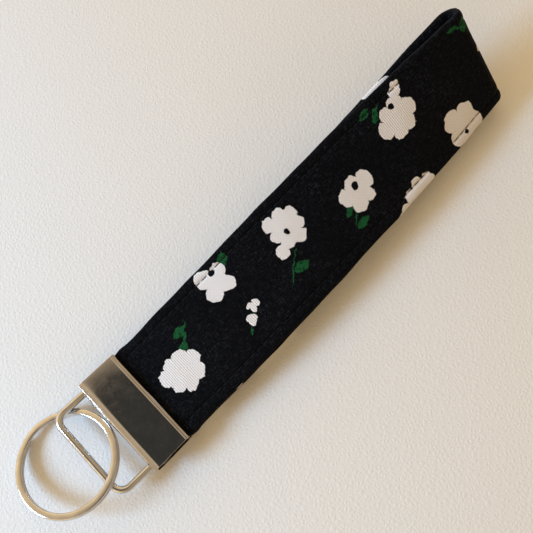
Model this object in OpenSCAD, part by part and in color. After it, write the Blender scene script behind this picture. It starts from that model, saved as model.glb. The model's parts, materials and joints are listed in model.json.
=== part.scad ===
// Wristlet keychain: a folded fabric strap crimped into a stamped end clamp,
// with a wire bail hinged in the clamp's spine and a split ring on the bail.
// +X runs from the ring towards the strap's fold, +Y across the strap, +Z up.
// The origin is the centre of the clamp's flat back face, which lies on the table.

/* [Clamp] */
// Width of the clamp at its mouth
clamp_w = 32.4; // [31:0.1:34]
// Width of the clamp at its spine
clamp_spine_w = 33; // [32.5:0.1:35]
// Depth of the clamp from spine to mouth
clamp_depth = 14; // [13:0.5:18]
// Outer thickness of the clamp
clamp_t = 7; // [6.6:0.1:8]
// Thickness of the stamped sheet
sheet_t = 0.8; // [0.6:0.05:1]
// Number of biting teeth in each jaw
tooth_count = 9; // [3:1:11]

/* [Bail] */
// Diameter of the bail's wire
wire_d = 2.2; // [1.8:0.1:2.4]
// Distance between the centres of the bail's two legs
bail_w = 28.6; // [27:0.1:29]
// Distance from the hinge bar's centre to the outer bar's centre
bail_reach = 14.2; // [13:0.1:18]
// Bend radius at the outer corners, on the wire's centreline
bail_bend = 3.4; // [2.4:0.1:5]
// Upward lean of the bail as it lies
bail_lean = 8; // [6:0.5:10]

/* [Split ring] */
// Outer diameter of the split ring
ring_d = 31; // [28:0.5:32]
// Radial width of the ring's flattened wire
ring_band = 2; // [1.6:0.1:2.2]
// Height of one coil
coil_h = 1.1; // [0.8:0.05:1.2]
// Tilt of the ring as it leans on the bail
ring_lean = 13.5; // [13:0.1:14.5]

/* [Strap] */
// Width of the strap
strap_w = 32; // [30:0.1:32]
// Thickness of the folded and stitched fabric
strap_t = 2.1; // [1.6:0.05:2.2]
// Outermost reach of the fold, from the clamp's centre
loop_reach = 147; // [120:1:200]
// Tilt of the strap at its fold
loop_twist = 43; // [20:1:48]
// Distance between the two layers' middles at the fold
fold_gap = 6.4; // [5.6:0.1:9]
// Distance of the stitch lines from the strap's edges
stitch_inset = 3.2; // [2.5:0.1:5]

/* [Hidden] */

eps = 0.01;
layer_gap = 0.1;                       // air between the two clamped ends
hinge_z = clamp_t / 2;                 // height of the bail's hinge bar
hinge_x = hinge_z - clamp_depth / 2;   // the spine is half round about the hinge bar
mouth_x = clamp_depth / 2;
bead_r = 0.9;                          // rolled lip along the mouth
slot_y = 13;                           // the spine ends here, and the bail's legs come out beyond it
lug_reach = 2.5;                       // how far the jaws' end lugs pass the hinge bar
tooth_h = 0.9;
tooth_w = 1.4;
tooth_l = 1.6;                         // a tooth's length at its root
tooth_tip = 0.5;                       // where its tip is, from the root's spine side
tooth_x = 2.6;
lug_w = 4;                             // drawn long, and cut off by the clamp's plan
hinge_bend = 1.6;                      // bend radius beside the hinge bar, on the centreline

outer_bar_x = hinge_x - bail_reach * cos(bail_lean);
ring_x = outer_bar_x - 5.3;            // the ring lies between the outer bar and the spine
ring_y = 3;                            // and a little to the strap's left
ring_cut = 0.35;                       // chamfer of the ring's edges
ring_z = ring_d / 2 * sin(ring_lean) + coil_h * cos(ring_lean) + 0.02;
coil_gap = 0.12;                       // depth of the groove between the two coils

flex_x = mouth_x + 2.8;                // where the strap bends as it leaves the clamp
nose_r = strap_t + layer_gap / 2;
fold_x = loop_reach - fold_gap / 2 - strap_t / 2;
lower_ease = 2.2;                      // how late the lower layer's twist sets in
upper_ease = 1.35;                     // and the upper layer's
settle = 0.16;                         // share of the loop over which the lower layer comes down
floor_gap = 0.25;                      // keeps the stitches' thread off the table
upper_drift = 1.6;                     // sideways drift of the upper layer at the fold
upper_belly = 1.6;                     // how far the upper layer bows up at mid-length
lower_z0 = hinge_z - (strap_t + layer_gap) / 2;
upper_z0 = hinge_z + (strap_t + layer_gap) / 2;
run_steps = 18;
fold_steps = 10;
row_steps = 4;                         // the wide faces twist, so they are split across their width
core_w = strap_w - 5;                  // the interfacing stops short of the folded edges
core_t = 0.6;
core_clear = 0.05;
seam_gap = 0.1;                        // hairline between the turned-in edges
thread_r = 0.2;
stitch_start = 0.03;                   // share of the loop left unstitched beside the clamp
edge_cut = 0.5;                        // chamfer that stands for the strap's round edges

// ---- the strap's route: along the lower layer, round the fold and back along the upper one

function smooth(v) = let (c = min(max(v, 0), 1)) c * c * (3 - 2 * c);
function lower_tilt(u) = loop_twist * pow(u, lower_ease);
function upper_tilt(u) = loop_twist * pow(u, upper_ease);
function normal(tilt) = [0, -sin(tilt), cos(tilt)];
function across(tilt) = [0, cos(tilt), sin(tilt)];
// The lower layer rests on its low edge once it has come down from the clamp's mouth
function lower_rest(u) =
    floor_gap + strap_t / 2 * cos(lower_tilt(u)) + strap_w / 2 * sin(lower_tilt(u));
function lower_z(u) = lower_rest(u) + (lower_z0 - lower_rest(0)) * (1 - smooth(u / settle));
fold_shift = fold_gap * normal(loop_twist);
lower_drift = upper_drift - fold_shift[1];
upper_z1 = lower_rest(1) + fold_shift[2];
function along_x(u) = flex_x + u * (fold_x - flex_x);
function lower_at(u) = [along_x(u), lower_drift * u * u, lower_z(u)];
function upper_z(u) = upper_z0 + (upper_z1 - upper_z0) * u + upper_belly * sin(180 * u);
function upper_at(u) = [along_x(u), upper_drift * u * u, upper_z(u)];
function fold_at(a) =
    lower_at(1) + fold_shift / 2 * (1 - cos(a)) + [fold_gap / 2 * sin(a), 0, 0];
// A station is [middle, direction across the strap, direction into the loop]
function lower_station(u) = [lower_at(u), across(lower_tilt(u)), normal(lower_tilt(u))];
function upper_station(u) = [upper_at(u), across(upper_tilt(u)), -normal(upper_tilt(u))];
function fold_station(a) =
    [fold_at(a), across(loop_twist), normal(loop_twist) * cos(a) - [sin(a), 0, 0]];
function route(start) = concat(
    [for (i = [0 : run_steps]) lower_station(start + (1 - start) * i / run_steps)],
    [for (i = [1 : fold_steps - 1]) fold_station(180 * i / fold_steps)],
    [for (i = [0 : run_steps]) upper_station(1 - (1 - start) * i / run_steps)]
);

// ---- sections, as [across, inward] points

// A straight row of points from one side of the strap to the other
function row(from, to, b) = [for (i = [0 : row_steps]) [from + (to - from) * i / row_steps, b]];
function slab(w, t) = concat(row(w / 2, -w / 2, t / 2), row(-w / 2, w / 2, -t / 2));
// The fabric is folded round its core, and its turned-in edges meet at the low edge
function folded(w, t, cut, hollow_w, hollow_t, seam) = concat(
    [[-w / 2, -seam / 2], [-w / 2, -t / 2 + cut]],
    row(-w / 2 + cut, w / 2 - cut, -t / 2),
    [[w / 2, -t / 2 + cut], [w / 2, t / 2 - cut]],
    row(w / 2 - cut, -w / 2 + cut, t / 2),
    [[-w / 2, t / 2 - cut], [-w / 2, seam / 2], [-hollow_w / 2, seam / 2]],
    row(-hollow_w / 2, hollow_w / 2, hollow_t / 2),
    row(hollow_w / 2, -hollow_w / 2, -hollow_t / 2),
    [[-hollow_w / 2, -seam / 2]]
);
function disc(at, r) = [for (i = [0 : 5]) at + r * [cos(60 * i), sin(60 * i)]];
function swept(stations, section) =
    [for (s = stations) for (p = section) s[0] + p[0] * s[1] + p[1] * s[2]];
// Quads between neighbouring rings, each as two triangles because the strap twists. Faces that
// lie back to back are cut along the same diagonal, so that the strap keeps its thickness.
function skin(rings, section) = [
    let (n = len(section))
    for (i = [0 : rings - 2]) for (j = [0 : n - 1])
        let (k = (j + 1) % n, a = i * n + j, b = i * n + k, rising = section[k][0] > section[j][0])
        for (f = rising ? [[a + n, b + n, a], [b + n, b, a]] : [[a + n, b + n, b], [a + n, b, a]]) f
];

module sweep(stations, section) {
    n = len(section);
    last = (len(stations) - 1) * n;
    polyhedron(
        points = swept(stations, section),
        faces = concat(
            skin(len(stations), section),
            [[for (j = [0 : n - 1]) j]],
            [[for (j = [n - 1 : -1 : 0]) last + j]]
        ),
        convexity = 8
    );
}

// ---- clamp

module across_clamp(w, at = 0) {
    translate([0, at + w / 2, 0])
        rotate([90, 0, 0])
            linear_extrude(height = w)
                children();
}

module jaw_sheet(from_x) {
    translate([from_x, 0])
        square([mouth_x - bead_r - from_x, sheet_t]);
    translate([mouth_x - bead_r, bead_r])
        circle(r = bead_r, $fn = 48);
}

module spine_section() {
    difference() {
        translate([hinge_x, hinge_z])
            circle(r = hinge_z, $fn = 96);
        translate([hinge_x, hinge_z])
            circle(r = hinge_z - sheet_t, $fn = 96);
        translate([hinge_x, -eps])
            square([clamp_t, clamp_t + 2 * eps]);
    }
}

module jaws(from_x) {
    jaw_sheet(from_x);
    translate([0, clamp_t])
        mirror([0, 1])
            jaw_sheet(from_x);
}

module teeth() {
    pitch = (strap_w - 4) / tooth_count;
    for (i = [0 : tooth_count - 1])
        across_clamp(tooth_w, (i - (tooth_count - 1) / 2) * pitch)
            polygon([[tooth_x, sheet_t - eps], [tooth_x + tooth_l, sheet_t - eps],
                     [tooth_x + tooth_tip, sheet_t + tooth_h]]);
}

module clamp_plan() {
    translate([0, 0, -1])
        linear_extrude(height = clamp_t + 2)
            polygon([
                [-mouth_x - 1, -clamp_spine_w / 2], [mouth_x + 1, -clamp_w / 2],
                [mouth_x + 1, clamp_w / 2], [-mouth_x - 1, clamp_spine_w / 2]
            ]);
}

module clamp() {
    color("silver")
        intersection() {
            clamp_plan();
            union() {
                across_clamp(2 * slot_y) {
                    spine_section();
                    jaws(hinge_x);
                }
                for (side = [-1, 1])
                    across_clamp(lug_w, side * (slot_y + lug_w / 2 - eps))
                        jaws(hinge_x - lug_reach);
                teeth();
                translate([0, 0, clamp_t])
                    mirror([0, 0, 1])
                        teeth();
            }
        }
}

// ---- bail, drawn flat with its hinge bar on the Y axis, then leaned up

module wire_bend(r) {
    rotate_extrude(angle = 90, $fn = 64)
        translate([r, 0])
            circle(d = wire_d, $fn = 48);
}

module wire_run(length) {
    rotate([0, 90, 0])
        cylinder(d = wire_d, h = length, $fn = 48);
}

module bail() {
    half_w = bail_w / 2;
    color("gainsboro")
        translate([hinge_x, 0, hinge_z])
            rotate([0, bail_lean, 0]) {
                translate([0, half_w - hinge_bend, 0])
                    rotate([90, 0, 0])
                        cylinder(d = wire_d, h = bail_w - 2 * hinge_bend, $fn = 48);
                translate([-bail_reach, half_w - bail_bend, 0])
                    rotate([90, 0, 0])
                        cylinder(d = wire_d, h = bail_w - 2 * bail_bend, $fn = 48);
                for (side = [0, 1])
                    mirror([0, side, 0]) {
                        translate([bail_bend - bail_reach, half_w, 0])
                            wire_run(bail_reach - bail_bend - hinge_bend);
                        translate([bail_bend - bail_reach, half_w - bail_bend, 0])
                            rotate([0, 0, 90])
                                wire_bend(bail_bend);
                        translate([-hinge_bend, half_w - hinge_bend, 0])
                            wire_bend(hinge_bend);
                    }
            }
}

// ---- split ring

module split_ring() {
    mid_r = (ring_d - ring_band) / 2;
    color("whitesmoke")
        translate([ring_x, ring_y, ring_z])
            rotate([-ring_lean, 0, 0])
                rotate_extrude($fn = 128)
                    translate([mid_r, 0])
                        polygon([
                            [-ring_band / 2 + ring_cut, -coil_h], [ring_band / 2 - ring_cut, -coil_h],
                            [ring_band / 2, -coil_h + ring_cut], [ring_band / 2, -coil_gap],
                            [ring_band / 2 - coil_gap, 0], [ring_band / 2, coil_gap],
                            [ring_band / 2, coil_h - ring_cut], [ring_band / 2 - ring_cut, coil_h],
                            [-ring_band / 2 + ring_cut, coil_h], [-ring_band / 2, coil_h - ring_cut],
                            [-ring_band / 2, coil_gap], [-ring_band / 2 + coil_gap, 0],
                            [-ring_band / 2, -coil_gap], [-ring_band / 2, -coil_h + ring_cut]
                        ]);
}

// ---- fabric

module strap() {
    color([0.05, 0.055, 0.07]) {
        sweep(
            route(0),
            folded(strap_w, strap_t, edge_cut, core_w + 2 * core_clear, core_t + 2 * core_clear, seam_gap)
        );
        translate([flex_x, strap_w / 2 - edge_cut, hinge_z])
            rotate([90, 0, 0])
                cylinder(r = nose_r, h = strap_w - 2 * edge_cut, $fn = 64);
    }
}

module interfacing() {
    start = (nose_r + 0.4) / (fold_x - flex_x);
    color("ivory")
        sweep(route(start), slab(core_w, core_t));
}

module strap_end(middle_z) {
    from_x = hinge_x + wire_d / 2 + 0.6;
    to_x = flex_x - nose_r - 0.3;
    color([0.05, 0.055, 0.07])
        translate([from_x, -strap_w / 2, middle_z - strap_t / 2])
            cube([to_x - from_x, strap_w, strap_t]);
}

module strap_end_upper() {
    strap_end(upper_z0);
}

module strap_end_lower() {
    strap_end(lower_z0);
}

module stitch_line(side) {
    color("black")
        for (face = [-1, 1])
            sweep(
                route(stitch_start),
                disc([side * (strap_w / 2 - stitch_inset), face * strap_t / 2], thread_r)
            );
}

module stitch_left() {
    stitch_line(1);
}

module stitch_right() {
    stitch_line(-1);
}

clamp();
bail();
split_ring();
strap();
strap_end_upper();
strap_end_lower();
interfacing();
stitch_left();
stitch_right();
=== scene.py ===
"""A wristlet keychain lying on a table: printed cotton strap, end clamp, wire bail and split ring."""

import json
import math

import bpy
import numpy as np
from mathutils import Euler, Matrix, Vector


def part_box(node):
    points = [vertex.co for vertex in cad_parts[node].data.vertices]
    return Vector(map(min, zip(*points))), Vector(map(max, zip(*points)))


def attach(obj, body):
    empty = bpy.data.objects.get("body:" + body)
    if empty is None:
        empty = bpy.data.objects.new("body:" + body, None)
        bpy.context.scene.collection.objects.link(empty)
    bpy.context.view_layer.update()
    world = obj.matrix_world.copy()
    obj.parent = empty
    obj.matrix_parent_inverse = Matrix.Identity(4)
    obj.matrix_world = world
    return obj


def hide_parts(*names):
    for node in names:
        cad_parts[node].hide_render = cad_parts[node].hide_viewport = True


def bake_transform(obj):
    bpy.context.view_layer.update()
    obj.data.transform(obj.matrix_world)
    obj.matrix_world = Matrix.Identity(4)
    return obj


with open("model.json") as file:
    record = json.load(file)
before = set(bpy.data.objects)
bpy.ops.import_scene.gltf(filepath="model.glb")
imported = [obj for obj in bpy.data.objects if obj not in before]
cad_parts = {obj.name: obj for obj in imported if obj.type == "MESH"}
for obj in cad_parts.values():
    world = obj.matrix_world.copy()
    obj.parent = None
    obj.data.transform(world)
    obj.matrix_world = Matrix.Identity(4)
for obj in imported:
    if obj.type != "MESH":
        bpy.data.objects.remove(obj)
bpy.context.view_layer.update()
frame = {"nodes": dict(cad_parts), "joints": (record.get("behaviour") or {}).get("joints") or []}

MM = 0.001
joints = {j["name"]: j for j in frame["joints"]}


def joint_mm(name):
    return [v / MM for v in joints[name]["pos_m"]]


# ---------------------------------------------------------------- dimensions, in millimetres, as in part.scad

STRAP_W, STRAP_T = 32.0, 2.1
LAYER_GAP = 0.1
LOOP_REACH, LOOP_TWIST, FOLD_GAP = 147.0, 43.0, 6.4
UPPER_DRIFT, UPPER_BELLY, FLOOR_GAP = 1.6, 1.6, 0.25
STITCH_INSET = 3.2
CLAMP_T, CLAMP_DEPTH = 7.0, 14.0
CLAMP_W, CLAMP_SPINE_W = 32.4, 33.0
SLOT_Y = 13.0
WALL = 0.55              # the visible sheet: thinner than the CAD's jaws, so that the bail's legs swing clear
RING_D, RING_BAND, COIL_H, RING_LEAN = 31.0, 2.0, 1.1, 13.5
RING_OFFSET, RING_Y = 5.3, 3.0

MOUTH_X = CLAMP_DEPTH / 2
MID_Z = CLAMP_T / 2
FLEX_X = joint_mm("strap_flex")[0]
HINGE_X = joint_mm("bail_swing")[0]
FOLD_X = LOOP_REACH - FOLD_GAP / 2 - STRAP_T / 2
STUB_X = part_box("strap_end_upper")[0][0] / MM      # where the clamped ends stop, inside the clamp
STITCH_PITCH = 2.7
STITCH_A = STRAP_W / 2 - STITCH_INSET
LOWER_EASE, UPPER_EASE = 2.2, 1.35    # how late each layer takes up the twist
SETTLE = 0.16                         # how much of the loop the lower layer takes to come down to the table
EDGE_R = 0.95                         # the rounded edges' reach across the strip
PINCH = 0.22                          # how much the clamp's lips squeeze the strip


# ---------------------------------------------------------------- the strap's route

def smooth(v):
    c = np.clip(v, 0.0, 1.0)
    return c * c * (3 - 2 * c)


def lower_tilt(u):
    return math.radians(LOOP_TWIST) * max(u, 0) ** LOWER_EASE


def upper_tilt(u):
    return math.radians(LOOP_TWIST) * max(u, 0) ** UPPER_EASE


def normal(tilt):
    return np.array([0.0, -math.sin(tilt), math.cos(tilt)])


def across(tilt):
    return np.array([0.0, math.cos(tilt), math.sin(tilt)])


def lower_rest(u):
    tilt = lower_tilt(u)
    return FLOOR_GAP + STRAP_T / 2 * math.cos(tilt) + STRAP_W / 2 * math.sin(tilt)


FOLD_SHIFT = FOLD_GAP * normal(math.radians(LOOP_TWIST))
LOWER_DRIFT = UPPER_DRIFT - FOLD_SHIFT[1]
LOWER_Z0 = MID_Z - (STRAP_T + LAYER_GAP) / 2
UPPER_Z0 = MID_Z + (STRAP_T + LAYER_GAP) / 2
UPPER_Z1 = lower_rest(1) + FOLD_SHIFT[2]


def along_x(u):
    return FLEX_X + u * (FOLD_X - FLEX_X)


def lower_at(u):
    c = max(u, 0)
    z = lower_rest(c) + (LOWER_Z0 - lower_rest(0)) * (1 - smooth(c / SETTLE))
    return np.array([along_x(u), LOWER_DRIFT * c * c, z])


def upper_at(u):
    c = max(u, 0)
    z = UPPER_Z0 + (UPPER_Z1 - UPPER_Z0) * c + UPPER_BELLY * math.sin(math.pi * c)
    return np.array([along_x(u), UPPER_DRIFT * c * c, z])


def strap_stations(step=0.8):
    """The strip from its lower clamped end, along the lower layer, round the fold and back: middles,
    directions across it and into the loop, and how far along the strip each station lies from the lower end."""
    u_stub = (STUB_X - FLEX_X) / (FOLD_X - FLEX_X)
    count = int((FOLD_X - STUB_X) / step)
    run = [u_stub + (1 - u_stub) * i / count for i in range(count + 1)]
    twist = math.radians(LOOP_TWIST)
    turns = 16
    stations = [(lower_at(u), across(lower_tilt(u)), normal(lower_tilt(u))) for u in run]
    for i in range(1, turns):
        a = math.pi * i / turns
        bulge = np.array([FOLD_GAP / 2 * math.sin(a), 0, 0])
        place = lower_at(1) + FOLD_SHIFT / 2 * (1 - math.cos(a)) + bulge
        stations.append((place, across(twist), normal(twist) * math.cos(a) - np.array([math.sin(a), 0, 0])))
    stations += [(upper_at(u), across(upper_tilt(u)), -normal(upper_tilt(u))) for u in reversed(run)]
    middle, side, inward = (np.array(rows) for rows in zip(*stations))
    arc = np.concatenate([[0], np.cumsum(np.linalg.norm(np.diff(middle, axis=0), axis=1))])
    return middle, side, inward, arc


# ---------------------------------------------------------------- mesh helpers

def new_object(name, verts, faces, material, smooth_faces=True):
    mesh = bpy.data.meshes.new(name)
    mesh.from_pydata([tuple(v) for v in verts], [], faces)
    mesh.update()
    if smooth_faces:
        mesh.polygons.foreach_set("use_smooth", [True] * len(mesh.polygons))
    obj = bpy.data.objects.new(name, mesh)
    bpy.context.scene.collection.objects.link(obj)
    mesh.materials.append(material)
    return obj


def apply_modifiers(obj):
    """Turns a piece's modifiers into its mesh."""
    bpy.context.view_layer.update()
    graph = bpy.context.evaluated_depsgraph_get()
    mesh = bpy.data.meshes.new_from_object(obj.evaluated_get(graph))
    old = obj.data
    obj.modifiers.clear()
    obj.data = mesh
    bpy.data.meshes.remove(old)
    return obj


# ---------------------------------------------------------------- node helpers

class Nodes:
    """Shorthand for building a node tree."""

    def __init__(self, tree):
        self.tree = tree

    def add(self, kind, **settings):
        node = self.tree.nodes.new(kind)
        for key, value in settings.items():
            setattr(node, key, value)
        return node

    def put(self, socket, value):
        if isinstance(value, bpy.types.NodeSocket):
            self.tree.links.new(value, socket)
        elif value is not None:
            socket.default_value = value

    def math(self, op, a, b=None, c=None, clamp=False):
        node = self.add("ShaderNodeMath", operation=op, use_clamp=clamp)
        for socket, value in zip(node.inputs, (a, b, c)):
            self.put(socket, value)
        return node.outputs[0]

    def vector(self, op, a, b=None, out=0):
        node = self.add("ShaderNodeVectorMath", operation=op)
        for socket, value in zip(node.inputs, (a, b)):
            self.put(socket, value)
        return node.outputs[out]

    def ramp(self, value, low, high, to_low=0.0, to_high=1.0, kind="SMOOTHSTEP"):
        node = self.add("ShaderNodeMapRange", interpolation_type=kind)
        for key, v in zip(("Value", "From Min", "From Max", "To Min", "To Max"),
                          (value, low, high, to_low, to_high)):
            self.put(node.inputs[key], v)
        return node.outputs[0]

    def mix(self, factor, a, b):
        node = self.add("ShaderNodeMix", data_type="RGBA")
        self.put(node.inputs[0], factor)
        self.put(node.inputs[6], a)
        self.put(node.inputs[7], b)
        return node.outputs[2]

    def noise(self, vector, scale, detail=3.0, rough=0.5, out=0, distortion=0.0):
        node = self.add("ShaderNodeTexNoise")
        self.put(node.inputs["Vector"], vector)
        node.inputs["Scale"].default_value = scale
        node.inputs["Detail"].default_value = detail
        node.inputs["Roughness"].default_value = rough
        node.inputs["Distortion"].default_value = distortion
        return node.outputs[out]

    def scaled(self, vector, scale):
        node = self.add("ShaderNodeMapping")
        self.put(node.inputs["Vector"], vector)
        node.inputs["Scale"].default_value = scale
        return node.outputs[0]

    def bump(self, height, strength, distance, normal=None):
        node = self.add("ShaderNodeBump")
        node.inputs["Strength"].default_value = strength
        node.inputs["Distance"].default_value = distance
        self.put(node.inputs["Height"], height)
        if normal:
            self.put(node.inputs["Normal"], normal)
        return node.outputs[0]


def new_material(name):
    material = bpy.data.materials.new(name)
    material.use_nodes = True
    nodes = Nodes(material.node_tree)
    return material, nodes, material.node_tree.nodes["Principled BSDF"]


# ---------------------------------------------------------------- the printed cotton

INK = (0.0014, 0.0016, 0.0024, 1)
INK_WORN = (0.0270, 0.0285, 0.0350, 1)
PETAL = (0.88, 0.85, 0.845, 1)
PETAL_GAP = (0.20, 0.19, 0.20, 1)
LEAF = (0.008, 0.080, 0.024, 1)
LEAF_PALE = (0.020, 0.145, 0.050, 1)
PRINT_REPEAT = 152.0     # the print repeats along the strip
PRINT_TURN = 296.5       # where the other face's print starts, running back
PETAL_WORN = (0.62, 0.595, 0.58, 1)
LINT = (0.36, 0.36, 0.37, 1)
WEAVE = 0.60             # thread pitch

# Most centres in these four lists came from a scratch program, which worked points picked on the photograph
# back onto the strip with a fitted camera. They were then adjusted.
# Blossoms as (along, across, radius, petals, how far out the petals sit, turn), from the clamp's mouth
BLOSSOMS = [
    (10.9, -0.8, 6.1, 7, 0.64, 0.15),
    (35.8, 10.4, 5.8, 4, 0.60, 0.7),
    (38.4, -2.2, 2.0, 3, 0.55, 0.2),
    (35.3, -5.0, 1.5, 2, 0.25, 1.2),
    (61.0, 7.0, 6.0, 7, 0.68, 0.5),
    (55.2, 2.4, 1.8, 2, 0.20, 1.9),
    (83.4, -0.8, 5.6, 5, 0.60, 0.35),
    (106.0, 6.4, 6.0, 6, 0.62, 0.1),
    (110.4, 13.4, 2.3, 2, 0.40, 0.8),
    (122.0, -11.2, 6.8, 5, 0.58, 0.9),
    (98.5, -15.2, 5.4, 5, 0.58, 0.3),
    (90.4, -17.2, 3.2, 4, 0.50, 1.1),
    (139.6, 3.6, 1.5, 2, 0.45, 0.6),
    (141.6, 8.2, 1.3, 2, 0.45, 1.6),
]
# Flower centres, as (along, across, radius)
HEARTS = [(36.4, 13.0, 0.9), (60.2, 6.0, 1.0), (83.6, 1.1, 1.15), (106.6, 10.2, 1.0), (121.8, -12.8, 0.9)]
# Leaves as (along, across, half length, half width, turn)
LEAVES = [
    (15.6, 3.4, 2.5, 1.4, 0.75), (17.9, 7.8, 2.7, 1.35, 0.15),
    (41.4, 13.8, 2.2, 1.5, 0.75), (33.2, -7.0, 1.4, 0.6, 0.9),
    (56.4, -4.2, 2.7, 1.6, 0.0), (77.6, -3.0, 2.0, 1.0, 0.55), (78.6, -8.2, 2.5, 1.2, 0.05),
    (101.2, 11.6, 2.4, 0.9, 0.9), (98.8, 14.0, 2.4, 1.0, 0.2),
    (137.4, 13.2, 2.3, 1.4, 1.0), (133.6, 14.4, 2.2, 0.7, 2.9),
]
# Stems as (along, across, half length, half width, turn)
STEMS = [
    (18.4, 6.2, 4.6, 0.34, 0.80), (54.6, -2.6, 6.2, 0.26, 0.72), (78.2, -5.2, 3.8, 0.30, 0.80),
    (35.8, -4.4, 1.8, 0.30, 0.8), (102.0, 12.4, 2.8, 0.28, 0.5), (135.4, 13.6, 2.4, 0.28, 2.9),
]


def shape_group(name, inputs):
    """A node group holding a shape about a centre; returns its point turned into the shape's own axes."""
    group = bpy.data.node_groups.new(name, "ShaderNodeTree")
    group.interface.new_socket("Point", in_out="INPUT", socket_type="NodeSocketVector")
    group.interface.new_socket("Centre", in_out="INPUT", socket_type="NodeSocketVector")
    for key in inputs:
        group.interface.new_socket(key, in_out="INPUT", socket_type="NodeSocketFloat")
    group.interface.new_socket("Mask", in_out="OUTPUT", socket_type="NodeSocketFloat")
    nodes = Nodes(group)
    source = nodes.add("NodeGroupInput")
    target = nodes.add("NodeGroupOutput")
    offset = nodes.vector("SUBTRACT", source.outputs["Point"], source.outputs["Centre"])
    turned = nodes.add("ShaderNodeVectorRotate", rotation_type="Z_AXIS", invert=True)
    nodes.put(turned.inputs["Vector"], offset)
    nodes.put(turned.inputs["Angle"], source.outputs["Turn"])
    parts = nodes.add("ShaderNodeSeparateXYZ")
    nodes.put(parts.inputs[0], turned.outputs[0])
    return group, nodes, source, target, parts.outputs[0], parts.outputs[1]


def blossom_group():
    """A ring of uneven oval petals about a round middle."""
    group, n, source, target, x, y = shape_group("blossom", ["Radius", "Petals", "Out", "Turn"])
    radius, count, out, turn = (source.outputs[k] for k in ("Radius", "Petals", "Out", "Turn"))
    reach = n.math("SQRT", n.math("ADD", n.math("MULTIPLY", x, x), n.math("MULTIPLY", y, y)))
    step = n.math("DIVIDE", 2 * math.pi, count)
    angle = n.math("ARCTAN2", y, x)
    index = n.math("ROUND", n.math("DIVIDE", angle, step))
    local = n.math("SUBTRACT", angle, n.math("MULTIPLY", index, step))
    index = n.math("MODULO", n.math("ADD", index, count), count)
    uneven = n.math("SINE", n.math("ADD", n.math("MULTIPLY", index, 2.3), n.math("MULTIPLY", turn, 7.0)))
    spread = n.math("MULTIPLY", radius, out)
    vary = n.math("ADD", 1.0, n.math("MULTIPLY", uneven, 0.08))
    far = n.math("MULTIPLY", spread, vary)
    half = n.math("MULTIPLY", radius, n.math("SUBTRACT", 1.0, out))
    half = n.math("MULTIPLY", half, n.math("ADD", 1.15, n.math("MULTIPLY", uneven, 0.18)))
    along = n.math("SUBTRACT", n.math("MULTIPLY", reach, n.math("COSINE", local)), far)
    side = n.math("MULTIPLY", reach, n.math("SINE", local))
    span = n.math("SQRT", n.math("ADD", n.math("MULTIPLY", along, along), n.math("MULTIPLY", side, side)))
    middle = n.math("SUBTRACT", n.math("MULTIPLY", spread, 0.90), reach)
    inside = n.math("MAXIMUM", n.math("SUBTRACT", half, span), middle)
    n.put(target.inputs["Mask"], n.ramp(inside, -0.05, 0.07))
    return group


def heart_group():
    """The dark spot at a flower's centre."""
    group, n, source, target, x, y = shape_group("heart", ["Radius", "Turn"])
    reach = n.math("SQRT", n.math("ADD", n.math("MULTIPLY", x, x), n.math("MULTIPLY", y, y)))
    n.put(target.inputs["Mask"], n.ramp(n.math("SUBTRACT", source.outputs["Radius"], reach), -0.05, 0.07))
    return group


def leaf_group():
    """A leaf or a stem, pointed at both ends."""
    group, n, source, target, x, y = shape_group("leaf", ["Length", "Width", "Turn"])
    reach = n.math("DIVIDE", x, source.outputs["Length"])
    belly = n.math("SUBTRACT", 1.0, n.math("MULTIPLY", reach, reach))
    width = n.math("MULTIPLY", source.outputs["Width"], belly)
    n.put(target.inputs["Mask"], n.ramp(n.math("SUBTRACT", width, n.math("ABSOLUTE", y)), -0.05, 0.08))
    return group


def scattered(nodes, group, point, rows, names):
    """The union of a shape drawn once for each row of a centre and the named values."""
    total = None
    for row in rows:
        shape = nodes.add("ShaderNodeGroup", node_tree=group)
        nodes.put(shape.inputs["Point"], point)
        shape.inputs["Centre"].default_value = (row[0], row[1], 0)
        for key, value in zip(names, row[2:]):
            shape.inputs[key].default_value = value
        mask = shape.outputs["Mask"]
        total = mask if total is None else nodes.math("MAXIMUM", total, mask)
    return total


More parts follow.
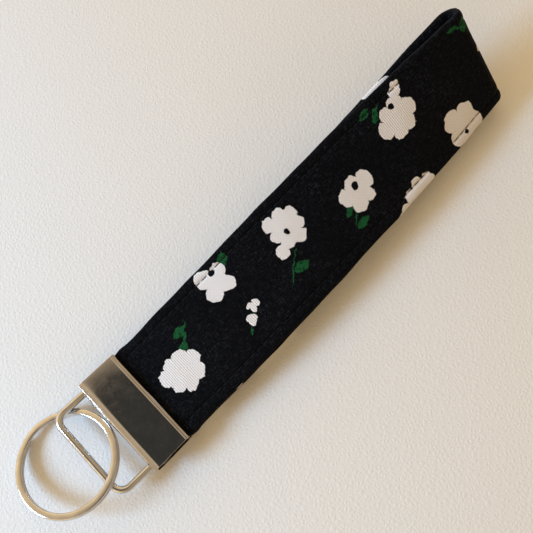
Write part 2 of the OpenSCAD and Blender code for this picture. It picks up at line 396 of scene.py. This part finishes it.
def cotton_material():
    """Black plain-weave cotton printed with white blossoms. The UV map holds millimetres / 100:
    along the strip from the upper layer's mouth, and round its section."""
    material, n, shader = new_material("printed_cotton")
    uv = n.add("ShaderNodeUVMap", uv_map="strip").outputs[0]
    cloth = n.scaled(uv, (100, 100, 1))
    split = n.add("ShaderNodeSeparateXYZ")
    n.put(split.inputs[0], cloth)
    along, around = split.outputs[0], split.outputs[1]

    # the print's own coordinates: it repeats along the strip, and turns over on the strip's other face
    other_face = n.math("GREATER_THAN", around, STRAP_W / 2 + STRAP_T / 2)
    from_far = n.math("SUBTRACT", n.math("MULTIPLY", other_face, PRINT_TURN), along)
    print_s = n.math("MODULO", n.math("ABSOLUTE", from_far), PRINT_REPEAT)
    print_t = n.math("SUBTRACT", around, n.math("MULTIPLY", other_face, STRAP_W + STRAP_T))
    joined = n.add("ShaderNodeCombineXYZ")
    n.put(joined.inputs[0], print_s)
    n.put(joined.inputs[1], print_t)
    # the print's edges are ragged, and step slightly from thread to thread
    torn = n.vector("SUBTRACT", n.noise(joined.outputs[0], 0.50, 2.0, 0.55, out=1), (0.5, 0.5, 0.5))
    fray = n.vector("SUBTRACT", n.noise(cloth, 2.2, 1.0, 0.5, out=1), (0.5, 0.5, 0.5))
    point = n.vector("ADD", joined.outputs[0], n.vector("MULTIPLY", torn, (1.9, 1.9, 0)))
    point = n.vector("ADD", point, n.vector("MULTIPLY", fray, (0.25, 0.25, 0)))

    white = scattered(n, blossom_group(), point, BLOSSOMS, ["Radius", "Petals", "Out", "Turn"])
    green = scattered(n, leaf_group(), point, LEAVES + STEMS, ["Length", "Width", "Turn"])
    heart = scattered(n, heart_group(), point, HEARTS, ["Radius"])
    white = n.math("MULTIPLY", white, n.math("SUBTRACT", 1.0, heart))

    # plain weave: threads go over and under each other
    drift = n.noise(cloth, 0.35, 2.0, 0.5, out=1)
    drift = n.vector("MULTIPLY", n.vector("SUBTRACT", drift, (0.5, 0.5, 0.5)), (0.9, 0.9, 0))
    woven = n.add("ShaderNodeSeparateXYZ")
    n.put(woven.inputs[0], n.vector("ADD", cloth, drift))
    warp = n.math("SINE", n.math("MULTIPLY", woven.outputs[0], math.pi / WEAVE))
    weft = n.math("SINE", n.math("MULTIPLY", woven.outputs[1], math.pi / WEAVE))
    over = n.math("MULTIPLY", warp, weft)
    crown = n.math("ADD", n.math("ABSOLUTE", warp), n.math("ABSOLUTE", weft))
    height = n.math("ADD", n.math("MULTIPLY", over, 0.35), n.math("MULTIPLY", crown, 0.4))
    slub = n.noise(n.scaled(cloth, (0.5, 3.2, 1)), 1.0, 3.0, 0.6)
    slub_across = n.noise(n.scaled(cloth, (3.2, 0.5, 1)), 1.0, 3.0, 0.6)
    grain = n.math("ADD", slub, slub_across)
    height = n.math("ADD", height, n.math("MULTIPLY", grain, 0.5))

    # colour: faded thread tops, darker gaps between threads, and a few specks of lint
    worn = n.math("ADD", n.ramp(grain, 0.98, 1.32), n.ramp(n.noise(cloth, 1.7, 2.0, 0.7), 0.56, 0.74))
    patch = n.ramp(n.noise(cloth, 0.07, 3.0), 0.40, 0.75, 0.50, 1.0)
    black = n.mix(n.math("MULTIPLY", n.math("MULTIPLY", worn, patch), 0.8, clamp=True), INK, INK_WORN)
    ribs = n.math("ADD", n.math("ABSOLUTE", warp), n.math("MULTIPLY", n.math("ABSOLUTE", weft), 0.35))
    gap = n.ramp(n.math("ADD", ribs, n.math("MULTIPLY", over, 0.15)), 0.12, 0.85)
    pale = n.mix(gap, PETAL_GAP, PETAL)
    pale = n.mix(n.math("MULTIPLY", n.ramp(grain, 0.8, 1.25), 0.3), pale, PETAL_WORN)
    leafy = n.mix(n.ramp(grain, 0.85, 1.3), LEAF, LEAF_PALE)
    streak = n.ramp(n.noise(cloth, 1.1, 2.0), 0.52, 0.66, 0.0, 0.75)
    leafy = n.mix(n.math("MAXIMUM", n.math("SUBTRACT", 1.0, gap), streak), leafy, INK)
    colour = n.mix(green, black, leafy)
    colour = n.mix(white, colour, pale)
    cells = n.add("ShaderNodeTexVoronoi", feature="F1")
    n.put(cells.inputs["Vector"], n.scaled(cloth, (0.34, 0.34, 1)))
    cells.inputs["Scale"].default_value = 1.0
    speck = n.math("LESS_THAN", cells.outputs["Distance"], 0.042)
    rare = n.math("GREATER_THAN", n.noise(cloth, 0.23, 0.0), 0.53)
    lint = n.math("MULTIPLY", n.math("MULTIPLY", speck, rare), 0.22)
    colour = n.mix(lint, colour, LINT)

    n.put(shader.inputs["Base Color"], colour)
    rough = n.ramp(white, 0.0, 1.0, 0.86, 0.92)
    n.put(shader.inputs["Roughness"], rough)
    shader.inputs["Specular IOR Level"].default_value = 0.05
    shader.inputs["Sheen Weight"].default_value = 0.04
    shader.inputs["Sheen Roughness"].default_value = 0.45
    shader.inputs["Sheen Tint"].default_value = (0.72, 0.80, 1.0, 1)
    coarse = n.bump(n.noise(cloth, 0.55, 3.0, 0.55), 0.35, 0.25 * MM)
    n.put(shader.inputs["Normal"], n.bump(height, 0.75, 0.09 * MM, coarse))
    return material


def thread_material():
    material, n, shader = new_material("sewing_thread")
    uv = n.add("ShaderNodeUVMap", uv_map="strip").outputs[0]
    split = n.add("ShaderNodeSeparateXYZ")
    n.put(split.inputs[0], uv)
    ply = n.math("SINE", n.math("ADD", n.math("MULTIPLY", split.outputs[0], 2100.0),
                                n.math("MULTIPLY", split.outputs[1], 2 * math.pi)))
    # painted shade: the thread's colour follows its ply bumps, darker in the grooves between plies and
    # lighter on their crowns
    painted_ply_shade = n.ramp(ply, -1.0, 1.0)
    n.put(shader.inputs["Base Color"], n.mix(painted_ply_shade, (0.0015, 0.0015, 0.002, 1), (0.006, 0.006, 0.008, 1)))
    n.put(shader.inputs["Roughness"], n.ramp(ply, -1.0, 1.0, 0.62, 0.45))
    shader.inputs["Specular IOR Level"].default_value = 0.2
    n.put(shader.inputs["Normal"], n.bump(ply, 0.6, 0.05 * MM))
    return material


def interfacing_material():
    material, n, shader = new_material("nonwoven_interfacing")
    place = n.add("ShaderNodeTexCoord").outputs["Object"]
    fibre = n.noise(n.scaled(place, (900, 2600, 900)), 1.0, 5.0, 0.7, distortion=1.5)
    n.put(shader.inputs["Base Color"], n.mix(fibre, (0.66, 0.65, 0.61, 1), (0.90, 0.89, 0.86, 1)))
    n.put(shader.inputs["Roughness"], n.ramp(fibre, 0, 1, 0.8, 0.95))
    n.put(shader.inputs["Normal"], n.bump(fibre, 0.5, 0.08 * MM))
    return material


# ---------------------------------------------------------------- the strap

def section_points():
    """The strip's section as (across, side): side is -1 on the outer face, 1 on the inner one, and in between
    on the rounded edges. The turned-in edges meet in a seam at the low edge."""
    edge = STRAP_W / 2 - EDGE_R
    seam = STRAP_W / 2 - 0.32
    near, far = STITCH_A - 1.0, STITCH_A + 1.0
    rows = np.concatenate([
        np.linspace(-edge, -far, 3)[:-1], np.linspace(-far, -near, 11)[:-1],
        np.linspace(-near, near, 27)[:-1], np.linspace(near, far, 11)[:-1],
        np.linspace(far, edge, 3)])
    turns = [math.radians(v) for v in (8, 22, 38, 54, 72)]
    bends = [(EDGE_R * math.cos(b), math.sin(b) ** 0.8) for b in turns]
    points = [(-seam, -0.03)]
    points += [(-edge - out, -rise) for out, rise in bends]
    points += [(a, -1.0) for a in rows]
    points += [(edge + out, -rise) for out, rise in reversed(bends)]
    points += [(STRAP_W / 2, 0.0)]
    points += [(edge + out, rise) for out, rise in bends]
    points += [(a, 1.0) for a in reversed(rows)]
    points += [(-edge - out, rise) for out, rise in reversed(bends)]
    return points + [(-seam, 0.03)]


def pinch(x):
    """How far the clamp's lips squeeze the strip, from 0 to 1."""
    return np.exp(-((x - (MOUTH_X - 0.9)) / 1.25) ** 2)


def half_thickness(x, s, a):
    """Half the strip's thickness: it is nipped by the clamp's lips and drawn in along the stitches."""
    base = STRAP_T / 2 * (1 - PINCH * pinch(x))
    line = np.abs(np.abs(a) - STITCH_A)
    hole = np.abs(np.cos(math.pi * s / STITCH_PITCH)) ** 6
    dip = (0.28 + 0.14 * hole) * np.exp(-(line / 0.48) ** 2)
    hem = 0.13 * np.exp(-((np.abs(a) - STITCH_A - 1.4) / 0.8) ** 2)
    within = np.clip(np.sign(STITCH_A - np.abs(a)), 0, 1)
    plump = 0.05 * np.exp(-((STITCH_A - 1.5 - np.abs(a)) / 1.2) ** 2) * within
    free = smooth((x - MOUTH_X) / 4)
    return base + free * (hem + plump - dip) - 0.04 * free


def ripple(s, a):
    """Soft unevenness of hand-pressed fabric."""
    long = 0.14 * np.sin(s / 9.1 + a / 13.0 + 0.7) + 0.07 * np.sin(s / 4.3 - a / 7.5 + 2.1)
    short = 0.04 * np.sin(s / 1.9 + a / 3.7 + 4.0) + 0.02 * np.sin(s / 1.25 - a / 2.1)
    border = smooth((np.abs(a) - 9) / 6)
    pucker = 0.03 * border * np.sin(2 * math.pi * s / STITCH_PITCH / 3 + 1.2 * np.sin(s / 6))
    return long + short + pucker


class Strip:
    """The strap's surface, as places on it."""

    def __init__(self):
        self.middle, self.side, self.inward, self.arc = strap_stations()
        self.length = self.arc[-1]
        x = self.middle[:, 0]
        lower = self.arc < self.length / 2
        near = 1 - smooth((x - FLEX_X) / 6)
        squeeze = STRAP_T * PINCH * pinch(x)
        # each layer moves towards the other where the lips pinch them
        self.middle[:, 2] += np.where(lower, 1, -1) * squeeze / 2 * near
        mouth = self.arc[-1] - np.interp(-MOUTH_X, -x[~lower], self.arc[~lower])
        self.print_s = (self.length - mouth) - self.arc

    def at(self, i, a, side, lift=0.0):
        """Where a point of the section lies at station i; side -1 is the outer face, 1 the inner one."""
        x, s = self.middle[i, 0], self.arc[i]
        b = side * (half_thickness(x, s, a) + lift)
        free = smooth((x - MOUTH_X - 1) / 12)
        wave = free * ripple(s, a) * np.sign(self.inward[i, 2] + 1e-9)
        gather = 0.35 * np.exp(-((x - MOUTH_X - 2.2) / 1.8) ** 2) * np.clip(np.abs(a) - 13, 0, 3) / 3
        wide = 1 + 0.004 * math.sin(s / 5.2) + 0.003 * math.sin(s / 2.3 + 1)
        return (self.middle[i] + np.sign(a) * (abs(a) * wide + gather) * self.side[i]
                + (b + wave) * self.inward[i])


def strap_piece(strip, material):
    points = section_points()
    n, rings = len(points), len(strip.arc)
    verts = [strip.at(i, a, side) * MM for i in range(rings) for a, side in points]
    flat = np.array([(a, side * STRAP_T / 2) for a, side in points])
    around = np.concatenate([[0], np.cumsum(np.linalg.norm(np.diff(flat, axis=0), axis=1))]) - STRAP_W / 2
    faces, marks = [], []
    for i in range(rings - 1):
        for j in range(n):
            k = (j + 1) % n
            faces.append((i * n + j, i * n + k, (i + 1) * n + k, (i + 1) * n + j))
            end = around[k] if k else around[-1] + 0.1
            marks += [(strip.print_s[i], around[j]), (strip.print_s[i], end),
                      (strip.print_s[i + 1], end), (strip.print_s[i + 1], around[j])]
    faces += [tuple(reversed(range(n))), tuple((rings - 1) * n + j for j in range(n))]
    marks += [(strip.print_s[0], around[j]) for j in reversed(range(n))]
    marks += [(strip.print_s[-1], around[j]) for j in range(n)]
    obj = new_object("strap_fabric", verts, faces, material)
    layer = obj.data.uv_layers.new(name="strip")
    layer.data.foreach_set("uv", np.array(marks).ravel() / 100)
    return obj


def stitch_piece(strip, name, side_sign, material):
    """A row of stitches on each face: every stitch is a short thread that dives in at both ends."""
    radius, sides, rings = 0.14, 6, 9
    verts, faces, marks = [], [], []
    a = side_sign * STITCH_A
    start = np.interp(FLEX_X + 0.6, strip.middle[: len(strip.arc) // 2, 0], strip.arc[: len(strip.arc) // 2])
    count = int((strip.length - 2 * start) / STITCH_PITCH)
    index = np.arange(len(strip.arc))
    for face in (-1, 1):
        phase = 0.0 if face < 0 else 0.5
        for c in range(count):
            s0 = (math.ceil(start / STITCH_PITCH) + c + phase) * STITCH_PITCH
            lines = []
            for r in range(rings):
                t = r / (rings - 1)
                s = s0 + STITCH_PITCH * (0.02 + 0.96 * t)
                place = np.interp(s, strip.arc, index)
                i = int(place)
                w = place - i
                dive = 0.30 * (abs(2 * t - 1) ** 4)
                here = strip.at(i, a, face, 0.07 - dive)
                there = strip.at(min(i + 1, len(index) - 1), a, face, 0.07 - dive)
                lines.append(((1 - w) * here + w * there, i))
            base = len(verts)
            for r, (centre, i) in enumerate(lines):
                slim = radius * (0.75 + 0.25 * math.sin(math.pi * r / (rings - 1)))
                for k in range(sides):
                    angle = 2 * math.pi * k / sides
                    spoke = math.cos(angle) * strip.side[i] + math.sin(angle) * strip.inward[i]
                    verts.append((centre + slim * spoke) * MM)
            for r in range(rings - 1):
                for k in range(sides):
                    q = (k + 1) % sides
                    faces.append((base + r * sides + k, base + r * sides + q,
                                  base + (r + 1) * sides + q, base + (r + 1) * sides + k))
                    u0, u1 = r / 250, (r + 1) / 250
                    marks += [(u0, k / sides), (u0, (k + 1) / sides), (u1, (k + 1) / sides), (u1, k / sides)]
            for cap in (tuple(base + k for k in reversed(range(sides))),
                        tuple(base + (rings - 1) * sides + k for k in range(sides))):
                faces.append(cap)
                marks += [(0, 0)] * sides
    obj = new_object(name, verts, faces, material)
    obj.data.uv_layers.new(name="strip").data.foreach_set("uv", np.array(marks, float).ravel())
    return obj


# ---------------------------------------------------------------- metal

def nickel_material(name, colour, tint, rough_low, rough_high, scratch_way):
    """Polished nickel plate: slightly cloudy, with fine scratches and a few pits."""
    material, n, shader = new_material(name)
    place = n.add("ShaderNodeTexCoord").outputs["Object"]
    cloud = n.noise(place, 260.0, 4.0, 0.6)
    pits = n.noise(place, 2600.0, 2.0, 0.6)
    n.put(shader.inputs["Base Color"], n.mix(n.ramp(cloud, 0.3, 0.75), colour, tint))
    shader.inputs["Metallic"].default_value = 1.0
    hairs = n.noise(n.scaled(place, scratch_way), 1.0, 4.0, 0.65)
    fine = n.ramp(hairs, 0.56, 0.70)
    rough = n.math("ADD", n.ramp(cloud, 0.3, 0.8, rough_low, rough_high), n.math("MULTIPLY", fine, 0.05))
    pocks = n.ramp(pits, 0.66, 0.74)
    n.put(shader.inputs["Roughness"], n.math("ADD", rough, n.math("MULTIPLY", pocks, 0.12)))
    waves = n.bump(n.noise(place, 110.0, 1.0), 0.05, 0.35 * MM)
    scratches = n.bump(hairs, 0.03, 0.012 * MM, waves)
    n.put(shader.inputs["Normal"], n.bump(pocks, 0.15, -0.02 * MM, scratches))
    return material


def clamp_piece(material):
    """The stamped sheet, drawn as its outer face and thickened inwards. Along its profile it runs from the
    upper lip's roll, over the face and the bevel, and down the spine to the lower lip. The spine is cut away
    at both ends, where the bail's legs come out."""
    lip = 0.9
    face_z = CLAMP_T - 0.12
    roll = [math.radians(v) for v in range(-105, 121, 15)]
    upper = [(MOUTH_X - lip + lip * math.cos(a), CLAMP_T - lip + lip * math.sin(a)) for a in roll]
    upper += [(5.5, face_z - 0.01), (5.2, face_z)]
    upper += [(x, face_z + 0.03 * (1 - (x / 4.8) ** 2)) for x in (4.6, 3.5, 2, 0, -2, -3.4)]
    upper += [(-4.3, face_z - 0.01), (-4.75, face_z - 0.03), (-4.92, face_z - 0.10)]
    upper += [(-5.2, face_z - 0.17), (-5.6, face_z - 0.27), (-5.95, face_z - 0.355), (-6.3, face_z - 0.44)]
    full = upper + [(-6.55, 6.22), (-6.78, 5.65), (-6.93, 5.05), (-7.0, 4.4), (-7.0, MID_Z)]
    full += [(x, CLAMP_T - z) for x, z in reversed(full[:-1])]

    def half_width(x):
        return (CLAMP_SPINE_W + (CLAMP_W - CLAMP_SPINE_W) * (x + MOUTH_X) / CLAMP_DEPTH) / 2

    cols = list(np.linspace(-SLOT_Y, SLOT_Y, 27))
    ends = [SLOT_Y + v for v in (0.9, 1.8, 2.7)]
    verts, faces, index = [], [], {}

    def vert(key, x, y, z):
        if key not in index:
            index[key] = len(verts)
            verts.append((x * MM, y * MM, z * MM))
        return index[key]

    for p, (x, z) in enumerate(full):
        for c, y in enumerate(cols):
            vert(("m", p, c), x, y, z)
    for p in range(len(full) - 1):
        for c in range(len(cols) - 1):
            around = ((p, c), (p, c + 1), (p + 1, c + 1), (p + 1, c))
            faces.append([index["m", row, col] for row, col in around])
    for sign, edge_col in ((-1, 0), (1, len(cols) - 1)):
        for jaw in (0, 1):
            ids = []
            for p, (x, z) in enumerate(upper):
                outer = half_width(x)
                row = []
                for e, y in enumerate([SLOT_Y] + ends + [None]):
                    zz = z if jaw == 0 else CLAMP_T - z
                    if e == 0:
                        row.append(index["m", p if jaw == 0 else len(full) - 1 - p, edge_col])
                    else:
                        row.append(vert(("e", sign, jaw, p, e), x, sign * (outer if y is None else y), zz))
                ids.append(row)
            for p in range(len(ids) - 1):
                for e in range(len(ids[0]) - 1):
                    quad = [ids[p][e], ids[p + 1][e], ids[p + 1][e + 1], ids[p][e + 1]]
                    flip = (sign > 0) == (jaw == 0)
                    faces.append(quad[::-1] if flip else quad)
    obj = new_object("end_clamp", verts, faces, material)
    thick = obj.modifiers.new("sheet", "SOLIDIFY")
    thick.thickness = WALL * MM
    thick.offset = -1
    thick.use_even_offset = True
    round_off = obj.modifiers.new("edges", "BEVEL")
    round_off.width = 0.13 * MM
    round_off.segments = 3
    round_off.limit_method = "ANGLE"
    round_off.angle_limit = math.radians(50)
    round_off.harden_normals = False
    finer = obj.modifiers.new("finer", "SUBSURF")
    finer.levels = finer.render_levels = 1
    return apply_modifiers(obj)


def tooth_piece(material):
    """The clamp's biting teeth, two rows of small wedges sunk in the fabric."""
    count, half, height, base = 9, 0.7, 1.05, WALL + 0.10
    pitch = (STRAP_W - 4) / count
    verts, faces = [], []
    for jaw in (0, 1):
        for i in range(count):
            y = (i - (count - 1) / 2) * pitch
            foot = [(2.6, base - 0.05), (4.2, base - 0.05)]
            outline = foot + [(3.4, base + height * 0.9), (3.0, base + height)]
            start = len(verts)
            for edge in (-half, half):
                for x, z in outline:
                    narrow = 1.0 if z < base + 0.1 else 0.45
                    verts.append((x * MM, (y + edge * narrow) * MM, (z if jaw == 0 else CLAMP_T - z) * MM))
            quads = [(0, 1, 2, 3), (7, 6, 5, 4), (0, 4, 5, 1), (1, 5, 6, 2), (2, 6, 7, 3), (3, 7, 4, 0)]
            faces += [[start + k for k in (q if jaw else q[::-1])] for q in quads]
    return new_object("clamp_teeth", verts, faces, material, smooth_faces=False)


def ring_piece(material):
    """Two turns of flattened wire wound one on the other: the wire steps up about where the turns meet."""
    mid_r = (RING_D - RING_BAND) / 2
    bar = joint_mm("ring_swing")
    tip = math.radians(RING_LEAN)
    centre = Vector((bar[0] - RING_OFFSET, RING_Y,
                     RING_D / 2 * math.sin(tip) + COIL_H * math.cos(tip) + 0.02))
    lean = Matrix.Rotation(-tip, 3, "X")
    step_from, step_to = math.radians(428), math.radians(456)
    first_angle, end_angle = math.radians(108), math.radians(784)
    half_w, half_h, cut = RING_BAND / 2, COIL_H / 2 - 0.02, 0.46
    corners = []
    for cx, cz, start in ((1, -1, -90), (1, 1, 0), (-1, 1, 90), (-1, -1, 180)):
        for k in range(5):
            a = math.radians(start + 22.5 * k)
            corners.append((cx * (half_w - cut) + cut * math.cos(a), cz * (half_h - cut) + cut * math.sin(a)))
    count = 300
    verts, faces = [], []
    n = len(corners)
    for i in range(count + 1):
        angle = first_angle + (end_angle - first_angle) * i / count
        rise = smooth((angle - step_from) / (step_to - step_from))
        z = -COIL_H / 2 + COIL_H * float(rise)
        from_end = min(i, count - i)
        shrink = {0: 0.66, 1: 0.86}.get(from_end, 1.0)
        for r, h in corners:
            radius = mid_r + r * shrink
            p = Vector((radius * math.cos(angle), radius * math.sin(angle), z + h * shrink))
            verts.append((centre + lean @ p) * MM)
    for i in range(count):
        for j in range(n):
            k = (j + 1) % n
            faces.append((i * n + j, i * n + k, (i + 1) * n + k, (i + 1) * n + j))
    faces += [tuple(reversed(range(n))), tuple(count * n + j for j in range(n))]
    return new_object("split_ring_coil", verts, faces, material)


# ---------------------------------------------------------------- stage

def floor_material():
    material, n, shader = new_material("pale_table")
    place = n.add("ShaderNodeTexCoord").outputs["Object"]
    grain = n.noise(place, 900.0, 4.0, 0.6)
    cells = n.add("ShaderNodeTexVoronoi", feature="DISTANCE_TO_EDGE")
    n.put(cells.inputs["Vector"], place)
    cells.inputs["Scale"].default_value = 780.0
    leather = n.math("ADD", n.ramp(cells.outputs["Distance"], 0.0, 0.35), grain)
    n.put(shader.inputs["Base Color"],
          n.mix(n.ramp(n.noise(place, 8.0, 2.0), 0.3, 0.7), (0.79, 0.775, 0.75, 1), (0.81, 0.795, 0.77, 1)))
    shader.inputs["Roughness"].default_value = 0.62
    shader.inputs["Specular IOR Level"].default_value = 0.3
    n.put(shader.inputs["Normal"], n.bump(leather, 0.36, 0.12 * MM))
    return material


def floor_piece():
    half = 1.6
    obj = new_object("table_top", [(-half, -half, 0), (half, -half, 0), (half, half, 0), (-half, half, 0)],
                     [(0, 1, 2, 3)], floor_material(), smooth_faces=False)
    obj.location.z = -0.00012


def lamp(name, towards, distance, size, power, colour, target=(0.055, 0, 0)):
    """A soft square lamp, in the direction `towards` from the object."""
    data = bpy.data.lights.new(name, "AREA")
    data.shape = "RECTANGLE"
    data.size, data.size_y = size
    data.energy = power
    data.color = colour
    obj = bpy.data.objects.new(name, data)
    way = Vector(towards).normalized()
    obj.location = Vector(target) + way * distance
    obj.rotation_euler = way.to_track_quat("Z", "Y").to_euler()
    bpy.context.scene.collection.objects.link(obj)


ROOM_FAR, ROOM_NEAR = (0.62, 0.43, 0.215, 1), (1.02, 0.76, 0.42, 1)
CEILING, SHELF, OVERHEAD = (0.42, 0.325, 0.215, 1), (0.06, 0.045, 0.032, 1), (0.040, 0.039, 0.033, 1)


def surroundings():
    """A warm, dim room with a dark patch overhead, which the metal's flat faces mirror."""
    world = bpy.data.worlds.new("room")
    bpy.context.scene.world = world
    world.use_nodes = True
    n = Nodes(world.node_tree)
    background = world.node_tree.nodes["Background"]
    way = n.add("ShaderNodeTexCoord").outputs["Generated"]

    def facing(direction, low, high):
        d = Vector(direction).normalized()
        return n.ramp(n.vector("DOT_PRODUCT", way, tuple(d), out=1), low, high)

    room = n.mix(facing((-0.75, 0.62, 0.25), -0.8, 0.8), ROOM_FAR, ROOM_NEAR)
    room = n.mix(facing((-0.1, -0.05, 1), 0.58, 0.90), room, CEILING)
    low = facing((0, 0, -1), -0.40, -0.10)
    shelf = n.math("MULTIPLY", facing((0, 0, 1), 0.50, 0.56), facing((0, 0, -1), -0.78, -0.72))
    dim = n.math("MULTIPLY", n.math("MAXIMUM", low, shelf), facing((0.60, -0.80, 0), -0.2, 0.3))
    room = n.mix(n.math("MULTIPLY", dim, 0.85), room, SHELF)
    room = n.mix(facing((-0.135, 0.006, 0.99), 0.9640, 0.9705), room, OVERHEAD)
    n.put(background.inputs["Color"], room)
    background.inputs["Strength"].default_value = 1.36


def camera():
    """The photograph's view. The lens, place and angles are a camera fit's results, rounded."""
    data = bpy.data.cameras.new("camera")
    obj = bpy.data.objects.new("camera", data)
    bpy.context.scene.collection.objects.link(obj)
    data.sensor_width = 36
    data.lens = 48.6
    data.clip_start = 0.01
    obj.location = (0.0272, -0.0401, 0.2117)
    obj.rotation_euler = Euler((0.245, 0.047, -0.779), "XYZ")
    bpy.context.scene.camera = obj


# ---------------------------------------------------------------- build

bpy.context.scene.view_settings.view_transform = "Standard"
camera()
floor_piece()
surroundings()
lamp("window", (-0.90, 0.46, 0.53), 0.62, (0.22, 0.17), 4.3, (0.36, 0.64, 1.0))

cotton = cotton_material()
thread = thread_material()
plate = nickel_material("nickel_plate", (0.54, 0.525, 0.53, 1), (0.61, 0.595, 0.60, 1),
                        0.06, 0.11, (300, 5200, 300))
wire = nickel_material("nickel_wire", (0.56, 0.56, 0.57, 1), (0.66, 0.66, 0.67, 1),
                       0.08, 0.14, (2600, 400, 2600))
spring = nickel_material("ring_nickel", (0.55, 0.545, 0.55, 1), (0.65, 0.64, 0.65, 1),
                         0.09, 0.15, (1400, 1400, 500))

strip = Strip()
fabric = strap_piece(strip, cotton)
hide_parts("strap", "strap_end_upper", "strap_end_lower")
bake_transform(fabric)

for side, sign in (("left", 1), ("right", -1)):
    stitches = stitch_piece(strip, f"topstitch_{side}", sign, thread)
    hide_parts(f"stitch_{side}")
    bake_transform(stitches)

shell = clamp_piece(plate)
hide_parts("clamp")
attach(shell, "clamp")
teeth = tooth_piece(plate)
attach(teeth, "clamp")

ring = ring_piece(spring)
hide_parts("split_ring")
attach(ring, "ring")

for node, material in (("bail", wire), ("interfacing", interfacing_material())):
    obj = frame["nodes"][node]
    for slot in obj.material_slots:
        slot.material = material
